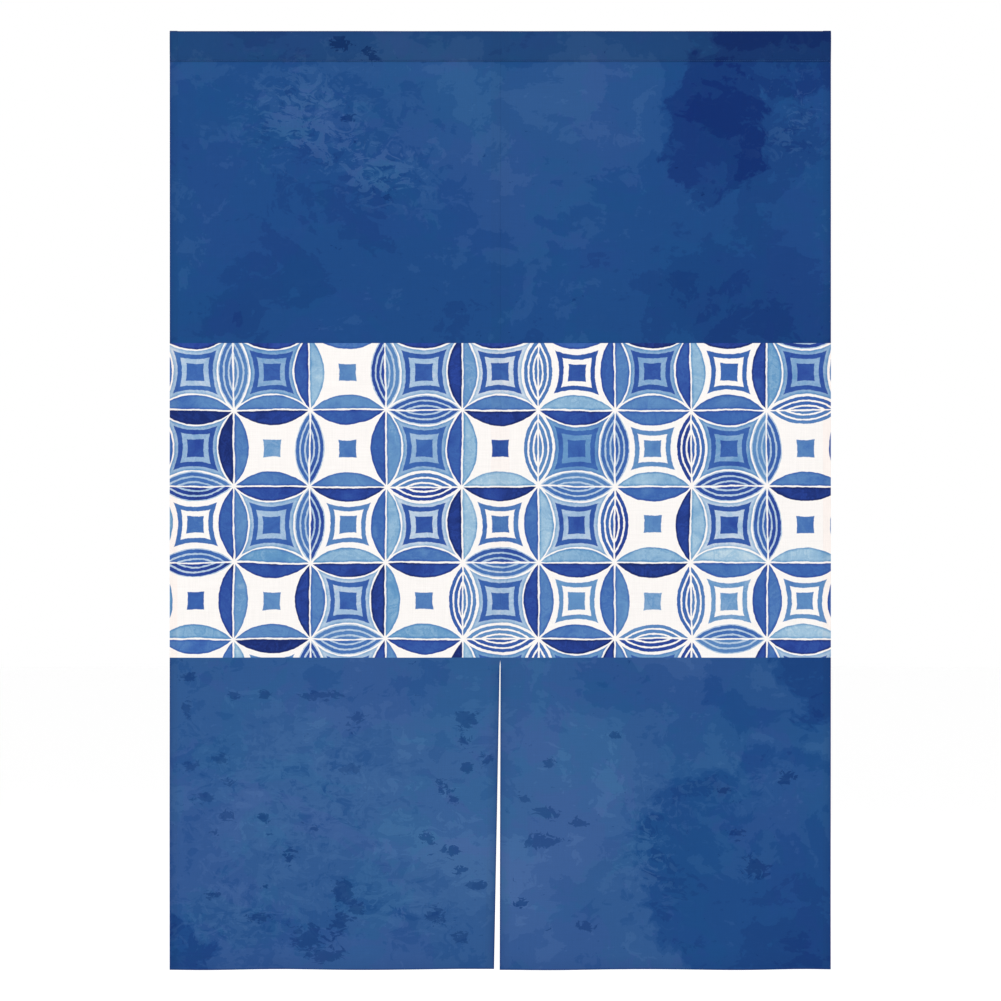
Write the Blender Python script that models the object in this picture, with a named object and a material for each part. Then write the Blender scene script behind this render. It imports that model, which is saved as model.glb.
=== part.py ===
"""Noren curtain: two cloth panels seamed together under one rod pocket and slit up the middle.

Metres, +Z up, +X to the right as seen from the front, front face towards -Y.
The origin is the middle of the top edge, where the rod in the pocket carries the curtain.
"""

import math
from collections import namedtuple

import bmesh
import bpy

# Driving dimensions of the finished curtain
CLOTH_WIDTH = 0.850
CLOTH_DROP = 1.207
POCKET_DROP = 0.040
SLIT_LENGTH = 0.400

# The cloth, its turned hems and the play between pieces that are sewn face to face
CLOTH_THICKNESS = 0.0012
HEM_FOLD_THICKNESS = 0.0010
SIDE_HEM_WIDTH = 0.010
SEAM_ALLOWANCE = 0.012
BOTTOM_HEM_HEIGHT = 0.020
HEM_STEP = 0.0006
SEWN_GAP = 0.0003

# Where the inner edges of the panels hang below the seam: at the top of the slit and at the hem
LEFT_EDGE_AT_SLIT_TOP = -0.0014
LEFT_EDGE_AT_HEM = -0.0083
RIGHT_EDGE_AT_SLIT_TOP = 0.0003
RIGHT_EDGE_AT_HEM = -0.0009
SLIT_END_DROP = 0.012

# The rod pocket's section: a drop shape, nearly flat in front and bellied at the back
STITCHED_BORDER = 0.003
POCKET_FRONT_BELLY = 0.0015
POCKET_BACK_BELLY = 0.0125
POCKET_TAPER = 1.3
BELLY_CHANGE = 0.0010
BELLY_WAVES = 2.5

# How finely the surfaces are divided
PANEL_COLUMNS = 15
ROWS_ABOVE_SLIT = 14
ROWS_BELOW_SLIT = 12
POCKET_STATIONS = 18
POCKET_SECTION_POINTS = 27
DROP_SAMPLES = 64
SMALL_TURN = 1e-4
ROUNDING = 1e-9

# How far from its inner edge a panel still swings with it
PANEL_TURN_REACH = 0.090

# Soft vertical folds: depth is at the hem, positive towards the back, and eases in below start
Fold = namedtuple("Fold", "across breadth depth start")
FOLDS = (
    Fold(across=-0.385, breadth=0.045, depth=-0.0050, start=0.20),
    Fold(across=-0.285, breadth=0.050, depth=0.0040, start=0.30),
    Fold(across=-0.165, breadth=0.055, depth=-0.0045, start=0.35),
    Fold(across=-0.060, breadth=0.040, depth=0.0030, start=0.50),
    Fold(across=0.070, breadth=0.048, depth=-0.0040, start=0.40),
    Fold(across=0.185, breadth=0.052, depth=0.0045, start=0.30),
    Fold(across=0.300, breadth=0.050, depth=-0.0040, start=0.25),
    Fold(across=0.392, breadth=0.040, depth=0.0045, start=0.20),
)

# Each panel: side is -1 or 1, turn is how far its inner edge swings back at the hem
Panel = namedtuple("Panel", "name side edge_at_slit_top edge_at_hem turn")
PANELS = (
    Panel("left_panel", -1, LEFT_EDGE_AT_SLIT_TOP, LEFT_EDGE_AT_HEM, 0.0050),
    Panel("right_panel", 1, RIGHT_EDGE_AT_SLIT_TOP, RIGHT_EDGE_AT_HEM, -0.0030),
)

# Linear colours of the printed indigo cloth, which looks darker where it is doubled
PANEL_INDIGO = (0.022, 0.085, 0.260, 1.0)
POCKET_INDIGO = (0.017, 0.066, 0.205, 1.0)

HALF_WIDTH = CLOTH_WIDTH / 2
SLIT_TOP = CLOTH_DROP - SLIT_LENGTH
PANEL_TOP = POCKET_DROP + SEWN_GAP


def clear_scene():
    for obj in list(bpy.data.objects):
        bpy.data.objects.remove(obj, do_unlink=True)


def cloth_material(name, colour):
    material = bpy.data.materials.new(name)
    material.use_nodes = True
    shader = material.node_tree.nodes["Principled BSDF"]
    shader.inputs["Base Color"].default_value = colour
    shader.inputs["Roughness"].default_value = 0.85
    shader.inputs["Metallic"].default_value = 0.0
    return material


def ease(amount):
    """0 to 1 with a soft start and end."""
    t = min(1.0, max(0.0, amount))
    return t * t * (3 - 2 * t)


def fold_depth(across, drop):
    """How far the soft folds push the cloth back at a place in the curtain."""
    depth = 0.0
    for fold in FOLDS:
        strength = ease((drop - fold.start) / (CLOTH_DROP - fold.start))
        depth += fold.depth * strength * math.exp(-(((across - fold.across) / fold.breadth) ** 2))
    return depth


def panel_inner_edge(panel, drop):
    """X of the panel's inner edge: straight down the seam, then along the slit."""
    if drop <= SLIT_TOP:
        return panel.side * SEWN_GAP / 2
    opened = (drop - SLIT_TOP) / SLIT_LENGTH
    return panel.edge_at_slit_top + (panel.edge_at_hem - panel.edge_at_slit_top) * opened


def panel_turn(panel, across, drop):
    """How far the panel's free inner edge swings out of the curtain's plane."""
    if drop <= SLIT_TOP:
        return 0.0
    from_edge = abs(across - panel_inner_edge(panel, drop))
    return panel.turn * ease((drop - SLIT_TOP) / SLIT_LENGTH) * math.exp(-from_edge / PANEL_TURN_REACH)


def panel_columns():
    """Fractions of a panel's width from its outer edge to its inner edge, with the hem steps."""
    outer_hem = SIDE_HEM_WIDTH / HALF_WIDTH
    inner_hem = 1 - SEAM_ALLOWANCE / HALF_WIDTH
    step = HEM_STEP / HALF_WIDTH
    middle = [
        outer_hem + step + (inner_hem - outer_hem - 2 * step) * i / PANEL_COLUMNS
        for i in range(PANEL_COLUMNS + 1)
    ]
    return [0.0, outer_hem, *middle, inner_hem, 1.0]


def panel_rows():
    """Drops from the pocket's seam to the hem, with rows at the slit's top and the hem's fold."""
    hem_fold = CLOTH_DROP - BOTTOM_HEM_HEIGHT
    above = [
        PANEL_TOP + (SLIT_TOP - PANEL_TOP) * i / ROWS_ABOVE_SLIT
        for i in range(ROWS_ABOVE_SLIT + 1)
    ]
    open_part = SLIT_TOP + SLIT_END_DROP
    below = [
        open_part + (hem_fold - HEM_STEP - open_part) * i / ROWS_BELOW_SLIT
        for i in range(ROWS_BELOW_SLIT + 1)
    ]
    return [*above, *below, hem_fold, CLOTH_DROP]


def is_hem(fraction, drop):
    """True where the cloth is turned back on itself at a side, at the seam or at the bottom."""
    outer = fraction <= SIDE_HEM_WIDTH / HALF_WIDTH + ROUNDING
    inner = fraction >= 1 - SEAM_ALLOWANCE / HALF_WIDTH - ROUNDING
    bottom = drop >= CLOTH_DROP - BOTTOM_HEM_HEIGHT - ROUNDING
    return outer or inner or bottom


def object_from_bmesh(name, bm, colour):
    bmesh.ops.recalc_face_normals(bm, faces=bm.faces)
    mesh = bpy.data.meshes.new(name)
    bm.to_mesh(mesh)
    bm.free()
    mesh.materials.append(cloth_material(name + "_cloth", colour))
    mesh.shade_smooth()
    mesh.set_sharp_from_angle(angle=math.radians(40))
    obj = bpy.data.objects.new(name, mesh)
    bpy.context.scene.collection.objects.link(obj)
    return obj


def close_grid(bm, front, back):
    """Skins a front and a back grid of vertices and walls in their common border."""
    rows, columns = len(front), len(front[0])
    for r in range(rows - 1):
        for c in range(columns - 1):
            bm.faces.new((front[r][c], front[r][c + 1], front[r + 1][c + 1], front[r + 1][c]))
            bm.faces.new((back[r][c], back[r + 1][c], back[r + 1][c + 1], back[r][c + 1]))
    border = [(0, c) for c in range(columns)]
    border += [(r, columns - 1) for r in range(1, rows)]
    border += [(rows - 1, c) for c in range(columns - 2, -1, -1)]
    border += [(r, 0) for r in range(rows - 2, 0, -1)]
    for (r0, c0), (r1, c1) in zip(border, border[1:] + border[:1]):
        bm.faces.new((front[r0][c0], back[r0][c0], back[r1][c1], front[r1][c1]))


def build_panel(panel):
    """One hung panel: a thin sheet with soft folds and its turned hems standing out at the back."""
    bm = bmesh.new()
    front, back = [], []
    for drop in panel_rows():
        inner = panel_inner_edge(panel, drop)
        outer = panel.side * HALF_WIDTH
        front_row, back_row = [], []
        for fraction in panel_columns():
            across = outer + (inner - outer) * fraction
            face = -CLOTH_THICKNESS / 2 + fold_depth(across, drop) + panel_turn(panel, across, drop)
            thickness = CLOTH_THICKNESS + (HEM_FOLD_THICKNESS if is_hem(fraction, drop) else 0.0)
            front_row.append(bm.verts.new((across, face, -drop)))
            back_row.append(bm.verts.new((across, face + thickness, -drop)))
        front.append(front_row)
        back.append(back_row)
    close_grid(bm, front, back)
    return object_from_bmesh(panel.name, bm, PANEL_INDIGO)


def drop_width(turn):
    """Half width of a drop shape, with its tip at 0 and its round top at half a turn."""
    return abs(math.sin(turn)) * math.sin(turn / 2) ** POCKET_TAPER


WIDEST = max(drop_width(math.pi * step / DROP_SAMPLES) for step in range(DROP_SAMPLES))


def hollow_point(turn, back_belly):
    """A point (y, z) of the pocket's hollow, a drop shape with its tip at the stitches."""
    tip = -POCKET_DROP + STITCHED_BORDER
    height = -CLOTH_THICKNESS - tip
    belly = -POCKET_FRONT_BELLY if turn < math.pi else back_belly
    rise = (1 - math.cos(turn)) / 2
    tip_depth = HEM_FOLD_THICKNESS / 2
    return tip_depth * (1 - rise) + belly * drop_width(turn) / WIDEST, tip + height * rise


def pocket_section(belly_share):
    """The hollow's loop and the cloth's outer loop round it, as (y, z) points."""
    back_belly = POCKET_BACK_BELLY + belly_share * BELLY_CHANGE
    hollow, outside = [], []
    for i in range(POCKET_SECTION_POINTS):
        turn = 2 * math.pi * (i + 0.5) / POCKET_SECTION_POINTS
        y, z = hollow_point(turn, back_belly)
        y_before, z_before = hollow_point(turn - SMALL_TURN, back_belly)
        y_after, z_after = hollow_point(turn + SMALL_TURN, back_belly)
        along_y, along_z = y_after - y_before, z_after - z_before
        length = math.hypot(along_y, along_z)
        hollow.append((y, z))
        outside.append((
            y - along_z / length * CLOTH_THICKNESS,
            min(0.0, z + along_y / length * CLOTH_THICKNESS),
        ))
    border_back = CLOTH_THICKNESS / 2 + HEM_FOLD_THICKNESS
    outside[0] = (-CLOTH_THICKNESS / 2, -POCKET_DROP)
    outside[-1] = (border_back, -POCKET_DROP)
    return hollow, outside


def build_rod_pocket():
    """The heading folded over to the back and stitched down, open at both ends for the rod."""
    bm = bmesh.new()
    hollows, outsides = [], []
    for station in range(POCKET_STATIONS + 1):
        share = station / POCKET_STATIONS
        across = -HALF_WIDTH + CLOTH_WIDTH * share
        hollow, outside = pocket_section(math.sin(2 * math.pi * BELLY_WAVES * share))
        hollows.append([bm.verts.new((across, y, z)) for y, z in hollow])
        outsides.append([bm.verts.new((across, y, z)) for y, z in outside])
    points = range(POCKET_SECTION_POINTS)
    for i in points:
        j = (i + 1) % POCKET_SECTION_POINTS
        for s in range(POCKET_STATIONS):
            bm.faces.new((outsides[s][i], outsides[s][j], outsides[s + 1][j], outsides[s + 1][i]))
            bm.faces.new((hollows[s][i], hollows[s + 1][i], hollows[s + 1][j], hollows[s][j]))
        for end in (0, POCKET_STATIONS):
            bm.faces.new((outsides[end][i], hollows[end][i], hollows[end][j], outsides[end][j]))
    return object_from_bmesh("rod_pocket", bm, POCKET_INDIGO)


def main():
    clear_scene()
    build_rod_pocket()
    for panel in PANELS:
        build_panel(panel)


main()
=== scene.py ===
"""Dresses a noren curtain: printed cloth with its hems, seam, rod pocket and stitches, then light and camera.

Metres, +Z up, the printed front faces -Y, and the origin is the middle of the top edge.
"""

import math
from collections import namedtuple

import bpy
import numpy as np
from bpy.props import FloatProperty, FloatVectorProperty, PointerProperty
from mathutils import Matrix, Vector


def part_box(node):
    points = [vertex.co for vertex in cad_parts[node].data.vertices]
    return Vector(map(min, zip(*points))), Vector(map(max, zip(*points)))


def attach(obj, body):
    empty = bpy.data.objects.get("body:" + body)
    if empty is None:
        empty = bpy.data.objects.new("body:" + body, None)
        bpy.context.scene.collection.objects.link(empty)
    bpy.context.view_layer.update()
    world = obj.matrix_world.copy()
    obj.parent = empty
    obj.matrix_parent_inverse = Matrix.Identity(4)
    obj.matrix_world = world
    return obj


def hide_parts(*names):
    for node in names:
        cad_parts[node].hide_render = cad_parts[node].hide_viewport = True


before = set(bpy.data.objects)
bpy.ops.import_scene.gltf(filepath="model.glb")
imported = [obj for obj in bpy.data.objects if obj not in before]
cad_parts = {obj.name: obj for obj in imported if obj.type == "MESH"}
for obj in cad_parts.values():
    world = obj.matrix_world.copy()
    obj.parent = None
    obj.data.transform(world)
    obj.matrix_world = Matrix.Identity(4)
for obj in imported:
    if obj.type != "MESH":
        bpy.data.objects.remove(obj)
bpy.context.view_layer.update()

bl_info = {
    "name": "Noren curtain",
    "version": (1, 0, 0),
    "blender": (4, 5, 0),
    "location": "3D View > Sidebar > Noren",
    "description": "Hangs a printed noren curtain on its rod pocket and lights it",
    "category": "Object",
}

POCKET_LOW, POCKET_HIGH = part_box("rod_pocket")
LEFT_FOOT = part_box("left_panel")[0]
RIGHT_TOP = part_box("right_panel")[1]
BODY = "root"
CLOTH_MATERIAL = "indigo_print"

# Light that reaches the front of the cloth, as a multiple of what would show its colours as printed
LIGHT_ON_CLOTH = 1.13

# The camera's picture, as wide and as high as this at the cloth, with the cloth a hair off its middle
PICTURE_WIDTH = 1.2868
PICTURE_OFF_CENTRE = (0.0002, -0.0004)
FLOOR_RADIUS, FLOOR_SIDES = 14.0, 96

# Soft vertical folds: depth is at the hem, positive towards the back, and eases in below start
Fold = namedtuple("Fold", "across breadth depth start")
FOLDS = (
    Fold(across=-0.385, breadth=0.045, depth=-0.0050, start=0.20),
    Fold(across=-0.285, breadth=0.050, depth=0.0040, start=0.30),
    Fold(across=-0.165, breadth=0.055, depth=-0.0045, start=0.35),
    Fold(across=-0.060, breadth=0.040, depth=0.0030, start=0.50),
    Fold(across=0.070, breadth=0.048, depth=-0.0040, start=0.40),
    Fold(across=0.185, breadth=0.052, depth=0.0045, start=0.30),
    Fold(across=0.300, breadth=0.050, depth=-0.0040, start=0.25),
    Fold(across=0.392, breadth=0.040, depth=0.0045, start=0.20),
)
PANEL_TURN_REACH = 0.090

# Small waves beside a line of stitches: how far they reach into the cloth, and how deep they are
Pucker = namedtuple("Pucker", "reach depth")
SIDE_PUCKER = Pucker(reach=0.009, depth=0.00016)
SLIT_PUCKER = Pucker(reach=0.010, depth=0.00013)
HEM_PUCKER = Pucker(reach=0.012, depth=0.00018)
POCKET_PUCKER = Pucker(reach=0.016, depth=0.00030)

HALF_SEAM_GAP = 0.00005
SLIT_OPENS_OVER = 0.010
EDGE_RADIUS = 0.0007
# How far the painted shade along folded edges reaches into the cloth
EDGE_SHADE_REACH = 0.0015
HEM_PROUD_OF_FRONT = 0.00012
TUCKED_INTO_POCKET = 0.0008
MESH_STEP_ACROSS, MESH_STEP_DOWN = 0.0038, 0.0036

# The rod pocket: its hemmed ends, its wall, how far its stitched borders stand out, and its mesh
POCKET_END_HEM = 0.010
POCKET_WALL, POCKET_WALL_IN_HEM = 0.0009, 0.0004
POCKET_GROOVE = 0.0003
POCKET_BORDER_PROUD, POCKET_BORDER_BACK = 0.0003, 0.0016
POCKET_STITCHES_PROUD, POCKET_STITCHES_BACK = 0.00044, 0.00185
POCKET_STEPS_ALONG, POCKET_STEPS_ROUND = 270, 60

# Rows of stitches: how far they run from a hem's step, and how closely their path is measured
STITCHES_FROM_STEP = 0.0018
STITCH_PATH_STEP = 0.002

# Each panel: its outer side, where its inner edge hangs along the slit, and how far that edge swings back
Length = namedtuple("Length", "name node side edge_at_slit_top edge_at_hem turn")
LENGTHS = (
    Length("left_panel_cloth", "left_panel", -1, -0.0007, -0.0080, 0.0050),
    Length("right_panel_cloth", "right_panel", 1, 0.0003, -0.0009, -0.0030),
)

# Tones of the dyed ground: its usual tone above and below the band, where the two part,
# then what each soft patch adds; the wide thin patch just under the pocket is painted light
TONE_ABOVE_BAND, TONE_BELOW_BAND = 0.47, 0.78
MIDDLE_OF_BAND = 0.6
Patch = namedtuple("Patch", "across drop breadth height tone")
WASH_AND_PAINTED_LIGHT_PATCHES = (
    Patch(-0.03, 0.11, 0.13, 0.11, 0.21),
    Patch(-0.08, 0.06, 0.05, 0.03, 0.09),
    Patch(-0.12, 0.20, 0.05, 0.04, -0.11),
    Patch(0.13, 0.11, 0.07, 0.11, 0.10),
    Patch(-0.22, 0.12, 0.08, 0.06, -0.05),
    Patch(0.26, 0.13, 0.06, 0.12, -0.14),
    Patch(0.36, 0.00, 0.11, 0.03, -0.27),
    # Painted light: lifts the shade just under the pocket's lower edge
    Patch(-0.05, 0.05, 0.50, 0.012, 0.09),
    Patch(0.36, 0.37, 0.12, 0.08, -0.26),
    Patch(0.13, 0.30, 0.06, 0.04, 0.10),
    Patch(-0.36, 0.37, 0.09, 0.05, -0.12),
    Patch(-0.13, 0.34, 0.10, 0.06, -0.09),
    Patch(-0.36, 0.20, 0.10, 0.13, 0.12),
    Patch(-0.34, 0.82, 0.09, 0.03, -0.13),
    Patch(0.08, 0.84, 0.09, 0.05, -0.15),
    Patch(-0.20, 1.00, 0.16, 0.12, 0.10),
    Patch(-0.06, 1.04, 0.06, 0.06, 0.08),
    Patch(0.07, 0.94, 0.11, 0.15, 0.14),
    Patch(0.04, 1.07, 0.06, 0.12, 0.13),
    Patch(-0.37, 1.05, 0.09, 0.05, -0.15),
    Patch(-0.32, 1.14, 0.11, 0.06, -0.12),
    Patch(-0.21, 1.10, 0.08, 0.05, -0.10),
    Patch(0.27, 0.88, 0.11, 0.06, -0.14),
    Patch(0.21, 1.02, 0.05, 0.05, -0.09),
    Patch(0.39, 0.97, 0.07, 0.03, 0.14),
    Patch(0.35, 1.18, 0.15, 0.05, -0.12),
    Patch(0.42, 1.06, 0.05, 0.10, -0.06),
)

# Where darker dye has run, up to a ragged border
SPILLS = (
    Patch(0.278, 0.130, 0.062, 0.095, -0.27),
    Patch(0.405, -0.010, 0.130, 0.095, -0.28),
    Patch(0.360, 1.080, 0.180, 0.158, -0.28),
    Patch(0.425, 0.805, 0.080, 0.082, -0.26),
    Patch(0.365, 0.835, 0.100, 0.080, -0.18),
    Patch(-0.440, 1.210, 0.075, 0.070, -0.34),
)

# Where the ground breaks up into light leafy filigree
FILIGREE_PATCHES = (
    Patch(-0.25, 0.11, 0.07, 0.06, 1.2),
    Patch(-0.15, 0.18, 0.06, 0.04, 1.1),
    Patch(0.38, 0.12, 0.04, 0.06, 0.6),
    Patch(0.19, 1.05, 0.04, 0.10, 0.8),
    Patch(-0.25, 0.98, 0.16, 0.10, 1.1),
    Patch(-0.12, 1.12, 0.08, 0.05, 1.0),
    Patch(-0.34, 1.14, 0.08, 0.05, 0.8),
    Patch(0.30, 0.97, 0.09, 0.04, 0.4),
)

# What the ground's colour is multiplied by in its two tints and in a fleck, and the painted shade where cloth
# lies two thick
TOWARD_VIOLET, TOWARD_TEAL = (1.21, 0.94, 1.03), (0.80, 1.06, 1.00)
FLECK_STAIN = (0.20, 0.45, 0.64)
DOUBLED_PAINTED_SHADE = (1.02, 0.85, 0.78)

# Ragged dark flecks of dye: across, drop, breadth and height in millimetres
FLECKS = (
    (-206, 16, 15, 11), (-165, 28, 14, 11), (-197, 111, 10, 7), (-145, 213, 7, 5), (-402, 874, 7, 13),
    (-399, 944, 14, 9), (-341, 854, 10, 6), (-302, 854, 9, 7), (-228, 854, 30, 7), (-184, 884, 13, 10),
    (-45, 884, 15, 13), (-47, 913, 9, 8), (-17, 937, 10, 8), (-42, 947, 13, 8), (-194, 947, 17, 7),
    (-72, 974, 13, 9), (-351, 1009, 10, 8), (-302, 1011, 9, 6), (-238, 1025, 9, 4), (-273, 1060, 12, 8),
    (-94, 1038, 12, 9), (-62, 1055, 14, 9), (-51, 1079, 10, 6), (-202, 1097, 12, 10), (-302, 1101, 8, 5),
    (-370, 1110, 14, 5), (-203, 1112, 13, 10), (-184, 1130, 11, 13), (-206, 1147, 13, 15),
    (-84, 1139, 13, 14), (-248, 1168, 27, 17), (-51, 1168, 14, 10), (-220, 1190, 21, 9), (-310, 1140, 16, 8),
    (-400, 832, 15, 7), (-361, 937, 13, 9), (-350, 965, 10, 6), (-378, 985, 16, 6), (-366, 1031, 7, 7),
    (-62, 991, 9, 6), (-29, 1100, 13, 7), (63, 942, 9, 6), (30, 988, 10, 7), (61, 1005, 14, 10),
    (100, 1019, 14, 7), (55, 1042, 26, 12), (27, 1121, 10, 8), (305, 1031, 13, 6), (368, 960, 13, 10),
    (288, 975, 11, 6), (330, 1075, 20, 16), (110, 1150, 12, 8), (150, 905, 10, 6),
)


def linear(red, green, blue):
    """Linear colour of a screen colour, as the cloth has it under the stage's light."""
    channels = []
    for value in (red, green, blue):
        share = value / 255
        low = share / 12.92
        high = ((share + 0.055) / 1.055) ** 2.4
        channels.append((low if share <= 0.04045 else high) / LIGHT_ON_CLOTH)
    return tuple(channels)


def length(name, default, description):
    return FloatProperty(name=name, description=description, default=default, unit="LENGTH", precision=4)


def colour(name, default, description):
    return FloatVectorProperty(name=name, description=description, default=default, subtype="COLOR",
                               size=3, min=0.0, max=1.0)


class NorenCloth(bpy.types.PropertyGroup):
    width: length("Width", RIGHT_TOP.x - LEFT_FOOT.x, "Width of the finished curtain")
    drop: length("Drop", POCKET_HIGH.z - LEFT_FOOT.z, "Height from the top edge to the hem")
    pocket_drop: length("Pocket", POCKET_HIGH.z - POCKET_LOW.z, "Depth of the rod pocket at its stitches")
    slit: length("Slit", 0.400, "Length of the slit up the middle")
    thickness: length("Cloth", 0.0007, "Thickness of one layer of cloth")
    turned: length("Turned cloth", 0.0012, "Thickness that a turned hem adds")
    front: length("Front face", -0.0006, "Where the front face hangs before its folds, along Y")
    side_hem: length("Side hem", 0.010, "Width of the side hems")
    seam_allowance: length("Seam allowance", 0.012, "Width of the cloth pressed open behind the seam")
    bottom_hem: length("Bottom hem", 0.020, "Height of the bottom hem")
    belly_front: length("Pocket front", 0.0015, "How far the pocket's hollow swells to the front")
    belly_back: length("Pocket back", 0.0125, "How far the pocket's hollow swells to the back")
    stitch: length("Stitch", 0.0030, "Length from one stitch to the next")
    thread: length("Thread", 0.00022, "Radius of the sewing thread")


class NorenPrint(bpy.types.PropertyGroup):
    band_top: length("Band top", 0.4016, "Drop at which the patterned band starts")
    band_bottom: length("Band bottom", 0.8058, "Drop at which the patterned band ends")
    circle: length("Circle spacing", 0.0980, "Distance between the middles of neighbouring linked circles")
    gap: length("Reserved line", 0.0021, "Width of the pale lines that part the petals")
    yarn: length("Yarn", 0.00052, "Distance from one yarn of the plain weave to the next")
    stroke: length("Stroke", 0.0066, "Distance from one brush stroke to the next in the hatched petals")
    ground: colour("Ground", linear(251, 247, 244), "Pale ground of the band")
    deep: colour("Deep blue", linear(40, 68, 150), "Darkest wash of the band")
    middle: colour("Middle blue", linear(62, 104, 174), "Middle wash of the band")
    light: colour("Light blue", linear(104, 150, 196), "Light wash of the band")
    pale: colour("Pale blue", linear(168, 194, 220), "Palest wash of the band")
    wash_dark: colour("Wash, dark", linear(8, 43, 108), "Darkest tone of the dyed ground")
    wash_middle: colour("Wash, middle", linear(27, 74, 133), "Usual tone of the dyed ground")
    wash_light: colour("Wash, light", linear(58, 98, 150), "Lightest tone of the dyed ground")


class NorenStage(bpy.types.PropertyGroup):
    lens: FloatProperty(name="Lens", description="Focal length of the camera", default=120.0, unit="CAMERA")
    floor_below: length("Floor below hem", 0.30, "How far the floor lies under the hem")
    sky: FloatProperty(name="Sky", description="Brightness of the white studio all round", default=1.0)
    key: FloatProperty(name="Key light", description="Power of the large light, front left",
                       default=34.0, unit="POWER")
    fill: FloatProperty(name="Fill light", description="Power of the large light, front right",
                        default=10.0, unit="POWER")


def ease(amount):
    """0 to 1 with a soft start and end."""
    t = np.clip(amount, 0.0, 1.0)
    return t * t * (3 - 2 * t)


def spread(patches, across, drop):
    """Sum of soft patches at each place."""
    total = np.zeros(np.broadcast(across, drop).shape)
    for patch in patches:
        far = ((across - patch.across) / patch.breadth) ** 2 + ((drop - patch.drop) / patch.height) ** 2
        total += patch.tone * np.exp(-far)
    return total


def pucker(distance, along, kind):
    """Small uneven waves that a stitch line draws into the cloth beside it."""
    wander = 1.9 * np.sin(along / 0.0075 + 0.8) + 1.1 * np.sin(along / 0.0193)
    swell = 0.65 + 0.35 * np.sin(along / 0.0312 + 2.0)
    return kind.depth * swell * np.sin(along / 0.0019 + wander) * np.exp(-np.abs(distance) / kind.reach)


def pocket_pucker(across, drop, cloth):
    """The same waves beside the line that closes the pocket, alike in every cloth that meets there."""
    return pucker(drop - cloth.pocket_drop, across + 0.1, POCKET_PUCKER)


def inner_edge(piece, drop, cloth):
    """X of a panel's inner edge: on the seam, then along the slit."""
    top = cloth.drop - cloth.slit
    opened = (drop - top) / cloth.slit
    hanging = piece.edge_at_slit_top + (piece.edge_at_hem - piece.edge_at_slit_top) * opened
    meeting = -piece.side * HALF_SEAM_GAP
    opening = ease((drop - top) / SLIT_OPENS_OVER)
    return np.where(drop <= top, meeting, meeting + (hanging - meeting) * opening)


def face_depth(piece, across, drop, cloth):
    """Y of the printed face of a panel."""
    depth = np.full(np.broadcast(across, drop).shape, cloth.front)
    for fold in FOLDS:
        strength = ease((drop - fold.start) / (cloth.drop - fold.start))
        depth += fold.depth * strength * np.exp(-(((across - fold.across) / fold.breadth) ** 2))
    slit_top = cloth.drop - cloth.slit
    inner = inner_edge(piece, drop, cloth)
    from_inner = np.abs(across - inner)
    from_outer = cloth.width / 2 - np.abs(across)
    from_bottom = cloth.drop - drop
    opened = ease((drop - slit_top) / cloth.slit)
    depth += piece.turn * opened * np.exp(-from_inner / PANEL_TURN_REACH)
    depth += 0.0005 * np.sin(across / 0.021 + 3 * np.sin(drop / 0.17)) * ease((drop - 0.06) / 0.6)
    depth += pucker(from_outer - cloth.side_hem, drop, SIDE_PUCKER)
    depth += pucker(from_inner, drop + 0.3, SLIT_PUCKER)
    depth += pucker(from_bottom - cloth.bottom_hem, across, HEM_PUCKER)
    depth += pocket_pucker(across, drop, cloth)
    return depth


def step_lines(near, far, hem_near, hem_far, coarse):
    """Places from near to far, close together at rounded edges and at both hems' steps."""
    edge = np.array([0.0, 0.00008, 0.0003, 0.0007, 0.0015, 0.003])
    beside = np.array([-0.0025, -0.0008, -0.0003, 0.0003, 0.0008, 0.0025])
    middle_near, middle_far = near + hem_near + 0.006, far - hem_far - 0.006
    count = max(2, round((middle_far - middle_near) / coarse))
    places = np.concatenate([
        near + edge, near + hem_near + beside, np.linspace(middle_near, middle_far, count + 1),
        far - hem_far + beside, far - edge,
    ])
    return np.unique(np.round(places, 6))


def panel_shares(cloth):
    """Fractions across a panel, from its outer edge to its inner edge."""
    half = cloth.width / 2
    return step_lines(0.0, half, cloth.side_hem, cloth.seam_allowance, MESH_STEP_ACROSS) / half


def panel_drops(cloth):
    """Drops down a panel, with its top edge tucked just inside the pocket's stitched border."""
    top = cloth.pocket_drop - TUCKED_INTO_POCKET
    lines = step_lines(top, cloth.drop, 0.004, cloth.bottom_hem, MESH_STEP_DOWN)
    slit_top = cloth.drop - cloth.slit
    return np.unique(np.concatenate([lines, slit_top + np.array([0.0, 0.0012, 0.0035, 0.007])]))


def edge_round(distance):
    """Share of the full thickness at a distance from a rounded edge."""
    share = np.clip(distance / EDGE_RADIUS, 0.0, 1.0)
    return np.sqrt(np.clip(1 - (1 - share) ** 2, 0.0, 1.0))


def in_hem(distance, width):
    """1 inside a hem that reaches this far from the edge, 0 past its step."""
    return 1 - ease((distance - width + 0.0003) / 0.0006)


def new_mesh_object(name, points, faces, material):
    mesh = bpy.data.meshes.new(name)
    mesh.from_pydata(points.tolist(), [], faces)
    mesh.validate()
    mesh.materials.append(material)
    mesh.shade_smooth()
    obj = bpy.data.objects.new(name, mesh)
    bpy.context.scene.collection.objects.link(obj)
    return obj


def give_cloth_facts(obj, places, facts):
    """Stores the flat place on the print as a UV map, and the named numbers as point attributes."""
    mesh = obj.data
    corners = np.empty(len(mesh.loops), np.int32)
    mesh.loops.foreach_get("vertex_index", corners)
    layer = mesh.uv_layers.new(name="flat_cloth")
    layer.data.foreach_set("uv", places[corners].astype(np.float32).ravel())
    for name, values in facts.items():
        attribute = mesh.attributes.new(name, "FLOAT", "POINT")
        attribute.data.foreach_set("value", values.astype(np.float32))


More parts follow.
